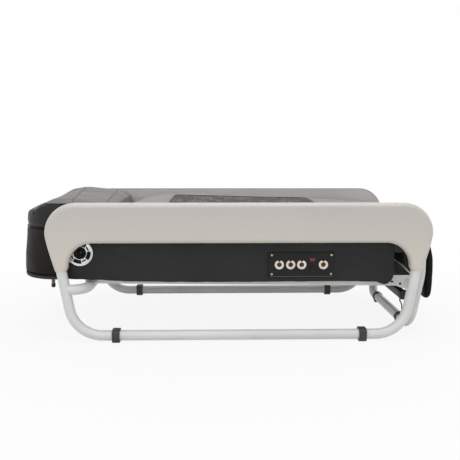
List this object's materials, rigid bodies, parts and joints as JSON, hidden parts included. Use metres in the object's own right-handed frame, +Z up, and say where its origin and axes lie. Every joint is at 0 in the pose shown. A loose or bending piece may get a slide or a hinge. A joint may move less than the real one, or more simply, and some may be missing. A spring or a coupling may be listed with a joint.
{
  "type": "massage bed",
  "caption": "Roller massage bed in its short state: upholstered bed on two tubular side frames with moulded rails and a pull-out foot section with its own stand.",
  "frame": {"origin": "on the floor, under the middle of the bed's length and width", "axes": "+X along the bed towards the foot end, -Y towards the side with the connector panel, +Z up"},
  "size_m": [1.438, 0.705, 0.48],
  "materials": {
    "cream_plastic": "smooth satin",
    "grey_vinyl": "fine-grained matt",
    "grey_tube": "satin powder coat",
    "black_rubber": "matt",
    "black_vinyl": "fine-grained satin",
    "brown_black_vinyl": "fine-grained satin",
    "silver_steel": "satin silver paint",
    "plain_steel": "bright",
    "zinc": "yellow plating",
    "plywood": "unfinished",
    "dark_mesh": "open weave",
    "chrome": "polished",
    "black_plastic": "matt",
    "red_plastic": "gloss",
    "grey_casting": "painted matt",
    "jade": "polished stone, opaque"
  },
  "bodies": {
    "bed": {"rail_cover_near": "cream_plastic", "rail_cover_far": "cream_plastic", "rail_liner_near": "grey_vinyl", "rail_liner_far": "grey_vinyl", "sled_tube_near": "grey_tube", "sled_tube_far": "grey_tube", "runner_clip_head_near": "black_rubber", "runner_clip_head_far": "black_rubber", "runner_clip_foot_near": "black_rubber", "runner_clip_foot_far": "black_rubber", "head_cross_tube": "grey_tube", "side_cover_near": "black_vinyl", "side_cover_far": "black_vinyl", "head_end_cover": "brown_black_vinyl", "head_end_trim": "black_rubber", "base_pan": "silver_steel", "chassis_frame": "silver_steel", "deck_board": "plywood", "foot_deck_plate": "plain_steel", "foot_bracket_near": "silver_steel", "foot_bracket_far": "silver_steel", "stop_bolt_near": "zinc", "stop_bolt_far": "zinc", "pillow_base": "black_vinyl", "pillow_panel": "grey_vinyl", "main_mat": "grey_vinyl", "mesh_strip": "dark_mesh", "speaker_ring": "chrome", "speaker_cone": "black_plastic", "panel_plate": "black_plastic", "socket_1": "plain_steel", "socket_2": "plain_steel", "socket_3": "plain_steel", "socket_4": "plain_steel", "switch_frame": "black_plastic", "fuse_holder": "black_plastic", "end_beam_head": "silver_steel", "end_beam_foot": "silver_steel", "guide_rod_near": "plain_steel", "guide_rod_far": "plain_steel", "gear_motor": "grey_casting", "control_box": "black_plastic"},
    "foot_section": {"foot_carrier": "plain_steel", "foot_mat": "grey_vinyl", "foot_end_pad": "black_vinyl", "foot_stand": "grey_tube", "stand_clip_near": "black_rubber", "stand_clip_far": "black_rubber", "stand_brace": "grey_casting", "stand_lead": "black_rubber"},
    "carriage": {"roller_carriage": "plain_steel", "roller_cradle": "grey_casting", "roller_axle_head": "plain_steel", "roller_axle_foot": "plain_steel"},
    "screw": {"lead_screw": "plain_steel", "shaft_coupling": "grey_casting"},
    "head_roller": {"roller_head": "jade"},
    "foot_roller": {"roller_foot": "jade"},
    "rocker": {"switch_rocker": "red_plastic"},
    "fuse_cap": {"fuse_cap": "black_plastic"}
  },
  "joints": [
    {"name": "foot_slide", "type": "slide", "parent": "bed", "child": "foot_section", "axis": [1, 0, 0], "range_m": [0, 0.3]},
    {"name": "carriage_slide", "type": "slide", "parent": "bed", "child": "carriage", "axis": [1, 0, 0], "range_m": [0, 0.37]},
    {"name": "screw_spin", "type": "hinge", "parent": "bed", "child": "screw", "pos_m": [0, 0, 0.268], "axis": [1, 0, 0], "range_deg": [0, 3360]},
    {"name": "roller_head_spin", "type": "hinge", "parent": "carriage", "child": "head_roller", "pos_m": [-0.156, 0, 0.398], "axis": [0, 1, 0], "continuous": true},
    {"name": "roller_foot_spin", "type": "hinge", "parent": "carriage", "child": "foot_roller", "pos_m": [-0.08, 0, 0.398], "axis": [0, 1, 0], "continuous": true},
    {"name": "switch_rock", "type": "hinge", "parent": "bed", "child": "rocker", "pos_m": [0.286, -0.2996, 0.2745], "axis": [0, 0, 1], "range_deg": [0, 16]},
    {"name": "fuse_cap_turn", "type": "hinge", "parent": "bed", "child": "fuse_cap", "pos_m": [0.2855, -0.2996, 0.245], "axis": [0, 1, 0], "range_deg": [0, 90]}
  ],
  "couplings": [
    {"joint": "screw_spin", "follows": "carriage_slide", "rad_per_m": 157.08}
  ]
}
